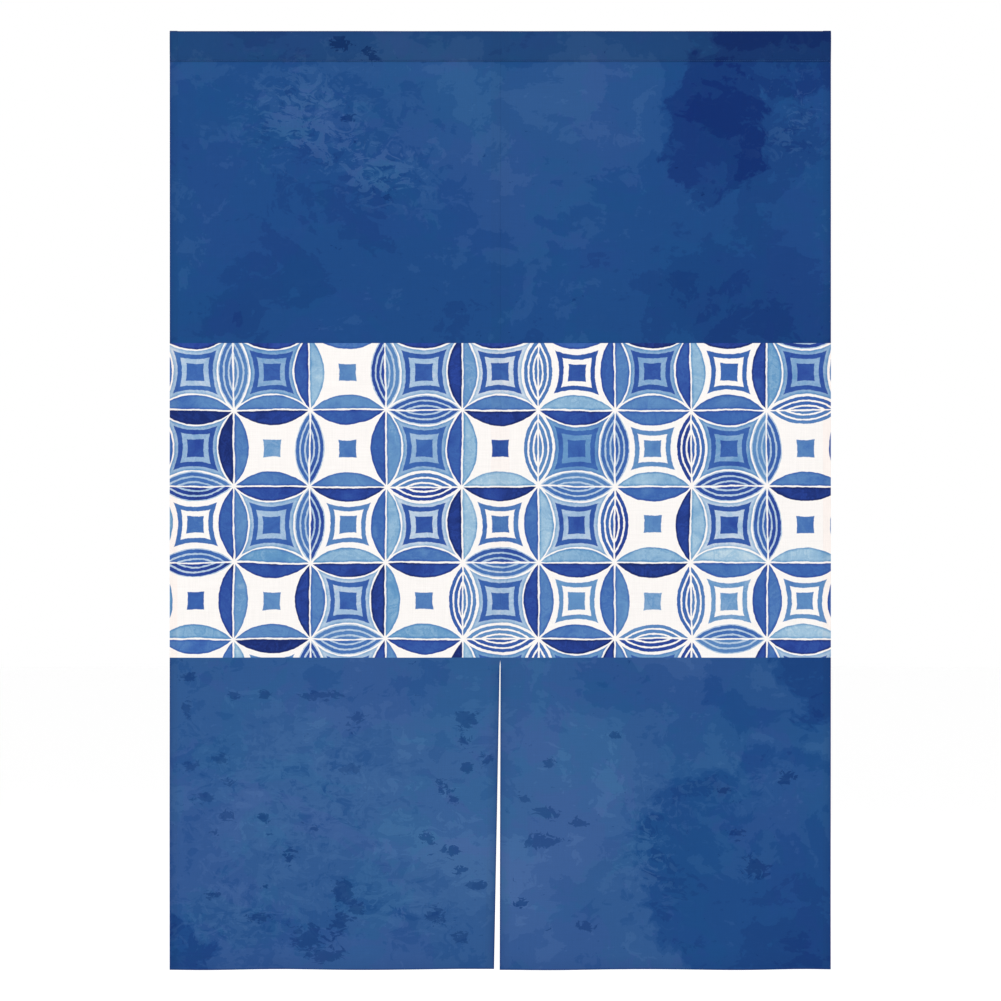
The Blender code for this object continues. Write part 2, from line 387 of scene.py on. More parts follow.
def cloth_facts(places, reverse, doubled_painted_shade, painted_edge_shade):
    """What the material needs to know at each point: its face, the painted shade of cloth two thick, the
    painted shade along folded edges, and the listed tones of the ground, one of them painted light.
    """
    across, drop = places[:, 0], places[:, 1]
    usual_tone = np.where(drop < MIDDLE_OF_BAND, TONE_ABOVE_BAND, TONE_BELOW_BAND)
    flecks = [Patch(*(number / 1000 for number in fleck), 1.0) for fleck in FLECKS]
    return {
        "reverse": reverse,
        "doubled_painted_shade": doubled_painted_shade,
        "painted_edge_shade": painted_edge_shade,
        "wash_tone_and_painted_light": usual_tone + spread(WASH_AND_PAINTED_LIGHT_PATCHES, across, drop),
        "filigree": spread(FILIGREE_PATCHES, across, drop),
        "flecks": spread(flecks, across, drop),
    }


def grid_faces(index):
    """Quads over a grid of point numbers."""
    corners = np.stack([index[:-1, :-1], index[1:, :-1], index[1:, 1:], index[:-1, 1:]], axis=-1)
    return corners.reshape(-1, 4)


def hang_panel(piece, cloth, material):
    """One length of cloth: printed face, reverse, turned hems and rounded folds as one closed sheet."""
    drops = panel_drops(cloth)[:, None]
    shares = panel_shares(cloth)[None, :]
    outer = piece.side * cloth.width / 2
    inner = inner_edge(piece, drops, cloth)
    across = outer + (inner - outer) * shares
    drop = np.broadcast_to(drops, across.shape)
    from_outer = np.abs(across - outer)
    from_inner = np.abs(across - inner)
    from_bottom = cloth.drop - drop
    side_hem = in_hem(from_outer, cloth.side_hem)
    seam_hem = in_hem(from_inner, cloth.seam_allowance)
    bottom_hem = in_hem(from_bottom, cloth.bottom_hem)
    opened = ease((drop - cloth.drop + cloth.slit) / 0.02)
    turned = cloth.turned * (side_hem + bottom_hem + seam_hem * (0.55 + 0.45 * opened))
    full = cloth.thickness + np.minimum(turned, 1.9 * cloth.turned)
    rounding = edge_round(np.minimum(np.minimum(from_outer, from_inner), from_bottom))
    face = face_depth(piece, across, drop, cloth) - HEM_PROUD_OF_FRONT * np.maximum(side_hem, bottom_hem)
    middle = face + 0.5 * cloth.thickness
    front = middle + (face - middle) * rounding
    back = middle + (face + full - middle) * rounding

    rows, columns = across.shape
    front_index = np.arange(rows * columns).reshape(rows, columns)
    back_index = front_index.copy()
    inside = (slice(1, -1), slice(1, -1))
    back_index[inside] = rows * columns + np.arange((rows - 2) * (columns - 2)).reshape(rows - 2, columns - 2)
    points = np.concatenate([
        np.stack([across, front, -drop], axis=-1).reshape(-1, 3),
        np.stack([across, back, -drop], axis=-1)[inside].reshape(-1, 3),
    ])
    faces = [grid_faces(front_index), grid_faces(back_index)[:, ::-1]]
    if piece.side > 0:
        faces = [quads[:, ::-1] for quads in faces]
    obj = new_mesh_object(piece.name, points, np.concatenate(faces).tolist(), material)

    turned_back = np.maximum(np.maximum(side_hem, seam_hem), bottom_hem) > 0.5
    back_across = np.where(seam_hem > 0.5, 2 * inner - across, across)
    back_across = np.where(side_hem > 0.5, 2 * outer - across, back_across)
    back_drop = np.where(bottom_hem > 0.5, 2 * cloth.drop - drop, drop)
    places = np.concatenate([
        np.stack([across, drop], axis=-1).reshape(-1, 2),
        np.stack([back_across, back_drop], axis=-1)[inside].reshape(-1, 2),
    ])
    # Painted shade where hems lie two thick and let less light through the cloth
    doubled_painted_shade = 0.26 * side_hem + 0.16 * seam_hem + 0.06 * bottom_hem
    reverse = np.concatenate([np.zeros(rows * columns), np.where(turned_back, 0.0, 1.0)[inside].ravel()])
    layer_painted_shade = np.concatenate([doubled_painted_shade.ravel(), (0.6 * doubled_painted_shade)[inside].ravel()])
    # Painted shade along the folded edges: darkest at the fold, fading within a millimetre or two
    from_edge = np.minimum(np.minimum(from_outer, np.where(opened > 0.5, from_inner, 1.0)), from_bottom)
    edge_shade_share = np.exp(-from_edge / EDGE_SHADE_REACH)
    painted_edge_shade = np.concatenate([edge_shade_share.ravel(), edge_shade_share[inside].ravel()])
    give_cloth_facts(obj, places, cloth_facts(places, reverse, layer_painted_shade, painted_edge_shade))
    return obj


def drop_width(turn):
    """Half width of a drop shape, with its tip at 0 and its round top at half a turn."""
    return np.abs(np.sin(turn)) * np.sin(turn / 2) ** 1.3


def pocket_hollow(turn, across, cloth):
    """(y, z) of the pocket's hollow at each turn round its section and place along the rod."""
    widest = drop_width(np.linspace(0, math.pi, 64)).max()
    share = across / cloth.width + 0.5
    back = cloth.belly_back + 0.0010 * np.sin(2 * math.pi * 2.5 * share)
    belly = np.where(turn < math.pi, -cloth.belly_front, back)
    tip = -cloth.pocket_drop + 0.003
    height = -0.0012 - tip
    rise = (1 - np.cos(turn)) / 2
    return 0.0005 * (1 - rise) + belly * drop_width(turn) / widest, tip + height * rise


def fold_pocket(cloth, material):
    """The heading turned over to the back and stitched down: a tube of cloth, open at both ends."""
    half = cloth.width / 2
    ends = np.array([0.0, 0.0004, 0.0015, 0.004, 0.0092, 0.0098, 0.0104, 0.013])
    middle = np.linspace(0.016, cloth.width - 0.016, POCKET_STEPS_ALONG)
    seam = half + np.array([-0.0016, -0.0006, -0.0002, 0.0, 0.0002, 0.0006, 0.0016])
    across = np.unique(np.concatenate([ends, middle, seam, cloth.width - ends])) - half
    turn = 2 * math.pi * (np.arange(POCKET_STEPS_ROUND) + 0.5) / POCKET_STEPS_ROUND
    across, turn = across[:, None], turn[None, :]
    y, z = pocket_hollow(turn, across, cloth)
    y_next, z_next = pocket_hollow(turn + 1e-4, across, cloth)
    y_last, z_last = pocket_hollow(turn - 1e-4, across, cloth)
    along_y, along_z = y_next - y_last, z_next - z_last
    size = np.hypot(along_y, along_z)
    out_y, out_z = -along_z / size, along_y / size
    end_hem = in_hem(half - np.abs(across), POCKET_END_HEM)
    wall = POCKET_WALL + POCKET_WALL_IN_HEM * end_hem
    seam_groove = np.exp(-((across / 0.0006) ** 2))
    pressed = ease((-z - cloth.pocket_drop + 0.020) / 0.018)
    ruffle = pocket_pucker(across, -z, cloth)
    ruffle = ruffle + 0.0004 * np.sin(across / 0.034 + 2 * np.sin(across / 0.11)) * (1 - pressed)
    outside_y = y + out_y * (wall - POCKET_GROOVE * seam_groove) + ruffle
    outside_z = np.minimum(0.0, z + out_z * wall)
    inside_y = y + ruffle
    inside_z = z + 0.0 * across
    border = -cloth.pocket_drop
    outside_y[:, 0] = cloth.front - POCKET_BORDER_PROUD + ruffle[:, 0]
    outside_y[:, -1] = POCKET_BORDER_BACK + ruffle[:, -1]
    outside_z[:, [0, -1]] = border

    stations, around = outside_y.shape
    wide = np.broadcast_to(across, outside_y.shape)
    outside = np.arange(stations * around).reshape(stations, around)
    hollow = outside + stations * around
    ring = np.append(np.arange(around), 0)
    faces = [grid_faces(outside[:, ring])[:, ::-1], grid_faces(hollow[:, ring])]
    for station, flip in ((0, 1), (stations - 1, -1)):
        rim = np.stack([outside[station, ring], hollow[station, ring]])
        faces.append(grid_faces(rim)[:, ::flip])
    points = np.concatenate([
        np.stack([wide, outside_y, outside_z], axis=-1).reshape(-1, 3),
        np.stack([wide, inside_y, inside_z], axis=-1).reshape(-1, 3),
    ])
    obj = new_mesh_object("rod_pocket_cloth", points, np.concatenate(faces).tolist(), material)
    folded_over = np.broadcast_to(turn > math.pi, outside_y.shape)
    drop_on_print = np.where(folded_over, outside_z, -outside_z)
    place = np.stack([wide, drop_on_print], axis=-1).reshape(-1, 2)
    places = np.concatenate([place, place])
    reverse = np.concatenate([np.zeros(wide.size), np.ones(wide.size)])
    seam_hem = in_hem(np.abs(across), cloth.seam_allowance)
    # Painted shade over the whole pocket, two thick, and more at its hemmed ends and seam
    doubled_painted_shade = np.broadcast_to(0.90 + 0.25 * end_hem + 0.12 * seam_hem, wide.shape)
    layer_painted_shade = np.concatenate([doubled_painted_shade.ravel(), doubled_painted_shade.ravel()])
    # Painted shade along the pocket's folded edges, half as strong on its hollow
    from_edge = np.minimum(half - np.abs(across), -outside_z)
    edge_shade_share = np.exp(-from_edge / EDGE_SHADE_REACH)
    painted_edge_shade = np.concatenate([edge_shade_share.ravel(), 0.5 * edge_shade_share.ravel()])
    give_cloth_facts(obj, places, cloth_facts(places, reverse, layer_painted_shade, painted_edge_shade))
    return obj


class Field:
    """A number that varies over the cloth, so that formulas of shader nodes read as formulas."""

    def __init__(self, tree, socket):
        self.tree = tree
        self.socket = socket

    def math(self, operation, *others):
        node = self.tree.nodes.new("ShaderNodeMath")
        node.operation = operation
        for entry, value in zip(node.inputs, (self, *others)):
            if isinstance(value, Field):
                self.tree.links.new(value.socket, entry)
            else:
                entry.default_value = value
        return Field(self.tree, node.outputs[0])

    def __add__(self, other):
        return self.math("ADD", other)

    def __sub__(self, other):
        return self.math("SUBTRACT", other)

    def __mul__(self, other):
        return self.math("MULTIPLY", other)

    def __truediv__(self, other):
        return self.math("DIVIDE", other)

    __radd__ = __add__
    __rmul__ = __mul__

    def __rsub__(self, other):
        return (self * -1.0) + other

    def floor(self):
        return self.math("FLOOR")

    def least(self, other):
        return self.math("MINIMUM", other)

    def most(self, other):
        return self.math("MAXIMUM", other)

    def above(self, other):
        return self.math("GREATER_THAN", other)

    def size(self):
        return self.math("ABSOLUTE")

    def ramp(self, start, end):
        """0 below start, 1 above end, and soft between them. It falls where end is under start."""
        node = self.tree.nodes.new("ShaderNodeMapRange")
        node.interpolation_type = "SMOOTHSTEP"
        rising = end > start
        node.inputs["From Min"].default_value = min(start, end)
        node.inputs["From Max"].default_value = max(start, end)
        node.inputs["To Min"].default_value = 0.0 if rising else 1.0
        node.inputs["To Max"].default_value = 1.0 if rising else 0.0
        self.tree.links.new(self.socket, node.inputs["Value"])
        return Field(self.tree, node.outputs["Result"])


class Dye:
    """Node-building help for one cloth material."""

    def __init__(self, tree):
        self.tree = tree

    def attribute(self, name):
        node = self.tree.nodes.new("ShaderNodeAttribute")
        node.attribute_name = name
        return Field(self.tree, node.outputs["Fac"])

    def flat_place(self):
        node = self.tree.nodes.new("ShaderNodeUVMap")
        node.uv_map = "flat_cloth"
        parts = self.tree.nodes.new("ShaderNodeSeparateXYZ")
        self.tree.links.new(node.outputs["UV"], parts.inputs["Vector"])
        return Field(self.tree, parts.outputs["X"]), Field(self.tree, parts.outputs["Y"])

    def point(self, x, y, z=0.0):
        node = self.tree.nodes.new("ShaderNodeCombineXYZ")
        for entry, value in zip(node.inputs, (x, y, z)):
            if isinstance(value, Field):
                self.tree.links.new(value.socket, entry)
            else:
                entry.default_value = value
        return node.outputs["Vector"]

    def noise(self, point, scale, detail=2.0, roughness=0.5, distortion=0.0):
        node = self.tree.nodes.new("ShaderNodeTexNoise")
        node.inputs["Scale"].default_value = scale
        node.inputs["Detail"].default_value = detail
        node.inputs["Roughness"].default_value = roughness
        node.inputs["Distortion"].default_value = distortion
        self.tree.links.new(point, node.inputs["Vector"])
        return Field(self.tree, node.outputs["Fac"])

    def chance(self, x, y, z):
        """A random number from 0 to 1 for each whole-number place."""
        node = self.tree.nodes.new("ShaderNodeTexWhiteNoise")
        node.noise_dimensions = "3D"
        self.tree.links.new(self.point(x, y, z), node.inputs["Vector"])
        return Field(self.tree, node.outputs["Value"])

    def blend(self, share, first, second, kind="MIX"):
        """Colour that goes from first to second. Either is a socket or a colour."""
        node = self.tree.nodes.new("ShaderNodeMix")
        node.data_type = "RGBA"
        node.blend_type = kind
        entries = (node.inputs["Factor"], node.inputs[6], node.inputs[7])
        for entry, value in zip(entries, (share, first, second)):
            if isinstance(value, Field):
                self.tree.links.new(value.socket, entry)
            elif isinstance(value, bpy.types.NodeSocket):
                self.tree.links.new(value, entry)
            elif entry.type == "VALUE":
                entry.default_value = value
            else:
                entry.default_value = (*value[:3], 1.0)
        return node.outputs[2]

    def shades(self, share, stops):
        """Colour read from a row of (place, colour) stops."""
        node = self.tree.nodes.new("ShaderNodeValToRGB")
        row = node.color_ramp.elements
        while len(row) < len(stops):
            row.new(1.0)
        for element, (place, shade) in zip(row, stops):
            element.position = place
            element.color = (*shade[:3], 1.0)
        self.tree.links.new(share.socket, node.inputs["Fac"])
        return node.outputs["Color"]


def hypotenuse(first, second):
    return (first * first + second * second).math("SQRT")


def between(first, second, share):
    """Colour part of the way from one to another."""
    return tuple(a + (b - a) * share for a, b in zip(first, second))


def wash_colour(dye, across, drop, design):
    """The mottled indigo ground: soft tones that break into ragged plateaus, leafy filigree and flecks, with
    a painted light patch under the pocket and painted shade along folded edges.
    """
    dark, middle, light = tuple(design.wash_dark), tuple(design.wash_middle), tuple(design.wash_light)
    broad = dye.noise(dye.point(across, drop, 3.1), 7.0, 3.0, 0.55, 0.4)
    ragged = dye.noise(dye.point(across, drop, 7.7), 8.0, 6.5, 0.62, 0.5)
    leafy = dye.noise(dye.point(across * 0.85, drop * 1.15, 9.9), 36.0, 3.4, 0.70, 0.9)
    filigree = dye.attribute("filigree")
    frayed_x = dye.noise(dye.point(across, drop, 83.0), 15.0, 5.0, 0.66, 0.6)
    frayed_y = dye.noise(dye.point(across, drop, 89.0), 15.0, 5.0, 0.66, 0.6)
    x = across + (frayed_x - 0.5) * 0.13
    y = drop + (frayed_y - 0.5) * 0.11
    tone = dye.attribute("wash_tone_and_painted_light") + (broad - 0.5) * 0.26
    for spill in SPILLS:
        far = hypotenuse((x - spill.across) / spill.breadth, (y - spill.drop) / spill.height)
        tone = tone + far.ramp(1.07, 0.93) * spill.tone
    level = tone + (ragged - 0.5) * 0.95 + (leafy - 0.5) * (0.30 + filigree * 1.05)
    smooth = dye.shades(tone, [(0.0, dark), (0.5, middle), (1.0, light)])
    plateaus = []
    bounds = (0.14, 0.28, 0.42, 0.56, 0.70, 0.84, 0.98)
    shades = (0.0, 0.16, 0.31, 0.46, 0.61, 0.76, 0.91, 1.12)
    tones = [between(dark, middle, s * 2) if s < 0.5 else between(middle, light, s * 2 - 1) for s in shades]
    for bound, under, over in zip(bounds, tones, tones[1:]):
        plateaus += [(bound - 0.006, under), (bound + 0.006, over)]
    stepped = dye.shades(level, plateaus)
    ground = dye.blend(0.85, smooth, stepped)

    lace = dye.noise(dye.point(across * 0.85, drop * 1.15, 19.0), 44.0, 3.0, 0.70, 1.3)
    leaves = (lace + filigree * 0.10).ramp(0.590, 0.606)
    ground = dye.blend(leaves * (filigree * 0.60 + 0.03).least(0.6), ground, light)

    blots = dye.noise(dye.point(across * 0.75, drop * 1.2, 29.0), 85.0, 3.0, 0.70, 1.2)
    flecks = (blots * 2.4 + dye.attribute("flecks") * 0.90).ramp(1.690, 1.720)
    strength = (broad + dye.attribute("doubled_painted_shade") * 0.30 + 0.16).least(0.95)
    ground = dye.blend(flecks * strength, ground, FLECK_STAIN, "MULTIPLY")

    violet = dye.noise(dye.point(across, drop, 11.0), 7.0, 6.0, 0.62, 0.5).ramp(0.515, 0.535)
    teal = dye.noise(dye.point(across, drop, 15.0), 8.0, 6.0, 0.62, 0.5).ramp(0.515, 0.535)
    ground = dye.blend(violet * 0.55, ground, TOWARD_VIOLET, "MULTIPLY")
    ground = dye.blend(teal * 0.55, ground, TOWARD_TEAL, "MULTIPLY")
    # Painted shade along folded edges: the ground darkens toward the fold
    return dye.blend(dye.attribute("painted_edge_shade") * 0.85, ground, dark)


def band_colour(dye, across, drop, design):
    """Linked circles: petals in watered blues or brush strokes round pale stars, parted by reserved lines."""
    wander = dye.noise(dye.point(across, drop, 41.0), 11.0, 2.0)
    drift = dye.noise(dye.point(across, drop, 43.0), 13.0, 2.0)
    shake = dye.noise(dye.point(across, drop, 47.0), 120.0, 2.0)
    shiver = dye.noise(dye.point(across, drop, 53.0), 140.0, 2.0)
    x = across + (wander - 0.5) * 0.0070 + (shake - 0.5) * 0.0016
    y = drop - design.band_top + (drift - 0.5) * 0.0070 + (shiver - 0.5) * 0.0016

    spacing, circle = design.circle, math.sqrt(0.5)
    u = x / spacing + 20.0
    v = y / spacing + 0.62
    right = u - u.floor() - 0.5
    down = v - v.floor() - 0.5
    side, rise = right.size(), down.size()
    into_upright = circle - hypotenuse(side + 0.5, rise - 0.5)
    into_level = circle - hypotenuse(side - 0.5, rise + 0.5)
    upright, level = into_upright.above(0.0), into_level.above(0.0)
    petal = upright + level
    into = into_upright.most(into_level)
    to_rib = upright * side + level * rise + (1.0 - petal)
    to_border = into.size().least(to_rib) * spacing

    column = (u + 0.5 * (1.0 - upright)).floor()
    row = (v + 0.5 * (1.0 - level)).floor()
    half = upright * right.above(0.0) + level * down.above(0.0)
    kind = upright + level * 2.0
    luck = dye.chance(column, row, kind + half * 4.0)
    luck_petal = dye.chance(column + 31.0, row, kind)
    luck_star = dye.chance(column, row + 17.0, 9.0)

    blot = dye.noise(dye.point(across, drop, 61.0), 34.0, 5.0, 0.62, 0.7)
    flow = dye.noise(dye.point(across, drop, 67.0), 14.0, 2.0)
    grain = dye.noise(dye.point(across, drop, 71.0), 420.0, 2.0)
    bristle = dye.noise(dye.point(across, drop, 73.0), 230.0, 2.0) - 0.5
    second_coat = (blot + (flow - 0.5) * 0.6).ramp(0.50, 0.53)
    depth = (blot - 0.5) * 0.9 + (flow - 0.5) * 0.8 + (grain - 0.5) * 0.18 - second_coat * 0.14
    rim = to_border.ramp(0.0046, 0.0012)
    ground, deep = tuple(design.ground), tuple(design.deep)
    blues = [
        (0.0, between(deep, (0.0, 0.0, 0.03), 0.60)),
        (0.16, deep),
        (0.38, tuple(design.middle)),
        (0.66, tuple(design.light)),
        (0.85, tuple(design.pale)),
        (1.0, between(tuple(design.pale), ground, 0.60)),
    ]
    heavier = upright * (1.0 - half) + level * half
    water = 0.69 - heavier * 0.42 + (luck - 0.5) * 0.44 + depth * 0.62 - rim * 0.14
    painted = dye.shades(water, blues)
    painted = dye.blend(luck.above(0.55) * (1.0 - heavier) * 0.5, painted, (0.82, 1.02, 0.98), "MULTIPLY")

    stroke_blue = dye.shades(0.42 + (luck - 0.5) * 0.5 + depth * 0.50, blues)
    strokes = (into * (spacing / design.stroke) - 0.20).math("FRACT")
    stroke = ((strokes - 0.5).size() + bristle * 0.22).ramp(0.36, 0.30)
    underwash = dye.blend(luck_petal.above(0.80), ground, dye.shades(0.90 + depth * 0.4, blues))
    hatched = dye.blend(stroke, underwash, stroke_blue)
    leaf = dye.blend(luck_petal.above(0.62), painted, hatched)

    from_arc = 0.0 - into + bristle * 0.012
    outline = (from_arc - 0.090).size().ramp(0.034, 0.026) * luck_star.above(0.30)
    core = from_arc.ramp(0.180, 0.188)
    watered = dye.shades(0.84 + depth * 0.5 - rim * 0.12 + (luck_star - 0.8) * 0.6, blues)
    flooded = luck_star.above(0.55)
    star_ground = dye.blend(flooded, ground, watered)
    luck_stroke = dye.chance(column, row + 53.0, 11.0)
    star_blue = dye.shades(0.26 + luck_stroke * (0.46 - flooded * 0.30) + depth * 0.55, blues)
    star = dye.blend((outline + core).least(1.0), star_ground, star_blue)
    motif = dye.blend(petal, star, leaf)

    line = dye.noise(dye.point(across, drop, 79.0), 55.0, 2.0)
    half_gap = design.gap / 2
    inside = (to_border + (line - 0.5) * 0.0018).ramp(half_gap - 0.00025, half_gap + 0.00025)
    return dye.blend(inside, ground, motif)


def cloth_material(design):
    """The print on both faces of a plain-woven cloth, paler behind, with painted shade where the cloth lies
    two thick.
    """
    material = bpy.data.materials.new(CLOTH_MATERIAL)
    material.use_nodes = True
    tree = material.node_tree
    shader = tree.nodes["Principled BSDF"]
    dye = Dye(tree)
    across, drop = dye.flat_place()
    in_band = drop.ramp(design.band_top - 0.0002, design.band_top + 0.0002)
    in_band = in_band * drop.ramp(design.band_bottom + 0.0002, design.band_bottom - 0.0002)
    wash = wash_colour(dye, across, drop, design)
    band = band_colour(dye, across, drop, design)
    printed = dye.blend(in_band, wash, band)

    weft = dye.noise(dye.point(across * 26.0, drop * 900.0, 5.0), 1.0, 2.0)
    warp = dye.noise(dye.point(across * 900.0, drop * 26.0, 9.0), 1.0, 2.0)
    slub = (weft + warp) * 0.5
    yarn_turn = math.pi / design.yarn
    crossing = (across * yarn_turn).math("SINE") * (drop * yarn_turn).math("SINE")
    raised = crossing.size()
    speckle = 0.93 + (slub - 0.5) * 0.22 + raised * 0.17
    grey = dye.tree.nodes.new("ShaderNodeCombineColor")
    for entry in grey.inputs[:3]:
        tree.links.new(speckle.socket, entry)
    printed = dye.blend(1.0, printed, grey.outputs[0], "MULTIPLY")
    # Painted shade where the cloth lies two thick and lets less light through
    doubled_painted_shade = dye.attribute("doubled_painted_shade")
    printed = dye.blend(doubled_painted_shade, printed, DOUBLED_PAINTED_SHADE, "MULTIPLY")
    bled = tree.nodes.new("ShaderNodeGamma")
    bled.inputs["Gamma"].default_value = 0.48
    tree.links.new(printed, bled.inputs["Color"])
    finished = dye.blend(dye.attribute("reverse"), printed, bled.outputs["Color"])
    tree.links.new(finished, shader.inputs["Base Color"])

    height = raised.math("SQRT") + crossing * 0.35 + slub * 1.2
    bump = tree.nodes.new("ShaderNodeBump")
    bump.inputs["Strength"].default_value = 0.55
    bump.inputs["Distance"].default_value = 0.00018
    tree.links.new(height.socket, bump.inputs["Height"])
    tree.links.new(bump.outputs["Normal"], shader.inputs["Normal"])
    roughness = 0.86 + (slub - 0.5) * 0.18
    tree.links.new(roughness.socket, shader.inputs["Roughness"])
    shader.inputs["Specular IOR Level"].default_value = 0.10
    shader.inputs["Sheen Weight"].default_value = 0.03
    shader.inputs["Sheen Roughness"].default_value = 0.5
    shader.inputs["Sheen Tint"].default_value = (0.45, 0.60, 0.90, 1.0)
    return material


def thread_material(name, shade):
    """Twisted sewing thread with a soft shine."""
    material = bpy.data.materials.new(name)
    material.use_nodes = True
    tree = material.node_tree
    shader = tree.nodes["Principled BSDF"]
    dye = Dye(tree)
    coordinates = tree.nodes.new("ShaderNodeTexCoord")
    twist = dye.noise(coordinates.outputs["Object"], 2600.0, 2.0)
    worn = dye.noise(coordinates.outputs["Object"], 60.0, 2.0)
    shade_share = twist * 0.5 + worn * 0.5
    paler = tuple(1.9 * value for value in shade)
    tinted = dye.shades(shade_share, [(0.3, between(shade, (0, 0, 0), 0.35)), (0.7, paler)])
    tree.links.new(tinted, shader.inputs["Base Color"])
    bump = tree.nodes.new("ShaderNodeBump")
    bump.inputs["Strength"].default_value = 0.4
    bump.inputs["Distance"].default_value = 0.0001
    tree.links.new(twist.socket, bump.inputs["Height"])
    tree.links.new(bump.outputs["Normal"], shader.inputs["Normal"])
    shader.inputs["Roughness"].default_value = 0.6
    shader.inputs["Specular IOR Level"].default_value = 0.2
    return material


def sew(name, starts, ends, outward, radius, material):
    """Short threads that stand out of the cloth in the middle and dive in at both ends."""
    rings, sides = 5, 5
    along = np.array([0.0, 0.16, 0.5, 0.84, 1.0])
    girth = np.array([0.45, 0.92, 1.0, 0.92, 0.45]) * radius
    lift = np.array([-0.9, 0.25, 0.55, 0.25, -0.9]) * radius
    starts, ends, outward = (np.asarray(v, float) for v in (starts, ends, outward))
    way = ends - starts
    way /= np.linalg.norm(way, axis=1, keepdims=True)
    outward = outward / np.linalg.norm(outward, axis=1, keepdims=True)
    beside = np.cross(way, outward)
    angle = 2 * math.pi * np.arange(sides) / sides
    centre = starts[:, None] + (ends - starts)[:, None] * along[None, :, None]
    centre = centre + outward[:, None] * lift[None, :, None]
    spoke = beside[:, None] * np.cos(angle)[None, :, None] + outward[:, None] * np.sin(angle)[None, :, None]
    points = centre[:, :, None] + spoke[:, None] * girth[None, :, None, None]
    count = len(starts)
    number = np.arange(count * rings * sides).reshape(count, rings, sides)
    next_side = np.roll(number, -1, axis=2)
    walls = np.stack([number[:, :-1], next_side[:, :-1], next_side[:, 1:], number[:, 1:]], axis=-1)
    faces = walls.reshape(-1, 4).tolist()
    faces += number[:, 0, ::-1].tolist() + number[:, -1].tolist()
    return new_mesh_object(name, points.reshape(-1, 3), faces, material)


def stitch_line(points, outward, pitch, share=0.78):
    """Starts and ends of stitches along a path of points, with how they face."""
    points, outward = np.asarray(points, float), np.asarray(outward, float)
    steps = np.linalg.norm(np.diff(points, axis=0), axis=1)
    run = np.concatenate([[0.0], np.cumsum(steps)])
    count = int(run[-1] / pitch)
    at = (np.arange(count) + 0.12) * pitch

    def read(places, values):
        return np.stack([np.interp(places, run, values[:, k]) for k in range(3)], axis=1)

    return read(at, points), read(at + share * pitch, points), read(at, outward)


def surface_line(piece, across, drop, cloth, behind):
    """Points along a line on a panel, as far behind its printed face as the cloth is thick there."""
    depth = face_depth(piece, across, drop, cloth) + behind
    return np.stack([across, depth, -drop], axis=-1)


def facing(count, towards):
    return np.tile(np.array([0.0, towards, 0.0]), (count, 1))


def joined_rows(rows):
    return [np.concatenate(parts) for parts in zip(*rows)]


def hem_stitch_rows(piece, cloth):
    """Stitch rows on the back of one panel: beside the side hem, round the slit and over the bottom hem."""
    drops = np.arange(cloth.pocket_drop + 0.004, cloth.drop - 0.003, STITCH_PATH_STEP)
    outer = piece.side * (cloth.width / 2 - cloth.side_hem + STITCHES_FROM_STEP)
    hem_back = cloth.thickness + cloth.turned
    rows = [(np.full_like(drops, outer), drops, hem_back)]
    slit_drops = drops[drops > cloth.drop - cloth.slit]
    inner = inner_edge(piece, slit_drops, cloth) + piece.side * (cloth.seam_allowance - STITCHES_FROM_STEP)
    rows.append((inner, slit_drops, hem_back))
    ends = (inner_edge(piece, np.array(cloth.drop), cloth) + piece.side * 0.003, piece.side * 0.422)
    wide = np.arange(min(ends), max(ends), STITCH_PATH_STEP)
    rows.append((wide, np.full_like(wide, cloth.drop - cloth.bottom_hem + STITCHES_FROM_STEP), hem_back))
    found = []
    for across, drop, behind in rows:
        points = surface_line(piece, across, drop, cloth, behind)
        found.append(stitch_line(points, facing(len(points), 1.0), cloth.stitch))
    return found


def pocket_stitch_rows(cloth):
    """The row that closes the pocket, seen on the front and on the back."""
    across = np.arange(-cloth.width / 2 + 0.002, cloth.width / 2 - 0.001, STITCH_PATH_STEP)
    drop = np.full_like(across, cloth.pocket_drop - 0.0016)
    ruffle = pocket_pucker(across, drop, cloth)
    front = np.stack([across, cloth.front - POCKET_STITCHES_PROUD + ruffle, -drop], axis=-1)
    back = np.stack([across, POCKET_STITCHES_BACK + ruffle, -drop], axis=-1)
    return [
        stitch_line(front, facing(len(front), -1.0), cloth.stitch),
        stitch_line(back, facing(len(back), 1.0), cloth.stitch),
    ]


def settle(piece):
    """A finished piece rides with the curtain."""
    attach(piece, BODY)
    return piece


def print_on_cloth(design):
    """The curtain's one cloth material, made when the first piece asks for it."""
    return bpy.data.materials.get(CLOTH_MATERIAL) or cloth_material(design)


class NOREN_OT_panels(bpy.types.Operator):
    """Hang the two lengths of printed cloth with their hems"""

    bl_idname = "noren.hang_panels"
    bl_label = "Hang panels"

    def execute(self, context):
        cloth, design = context.scene.noren_cloth, context.scene.noren_print
        material = print_on_cloth(design)
        for piece in LENGTHS:
            obj = settle(hang_panel(piece, cloth, material))
            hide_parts(piece.node)
        return {"FINISHED"}


class NOREN_OT_pocket(bpy.types.Operator):
    """Fold the heading into a rod pocket"""

    bl_idname = "noren.fold_pocket"
    bl_label = "Fold rod pocket"

    def execute(self, context):
        cloth, design = context.scene.noren_cloth, context.scene.noren_print
        material = print_on_cloth(design)
        obj = settle(fold_pocket(cloth, material))
        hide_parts("rod_pocket")
        2 * cloth.pocket_drop + 0.006
        return {"FINISHED"}


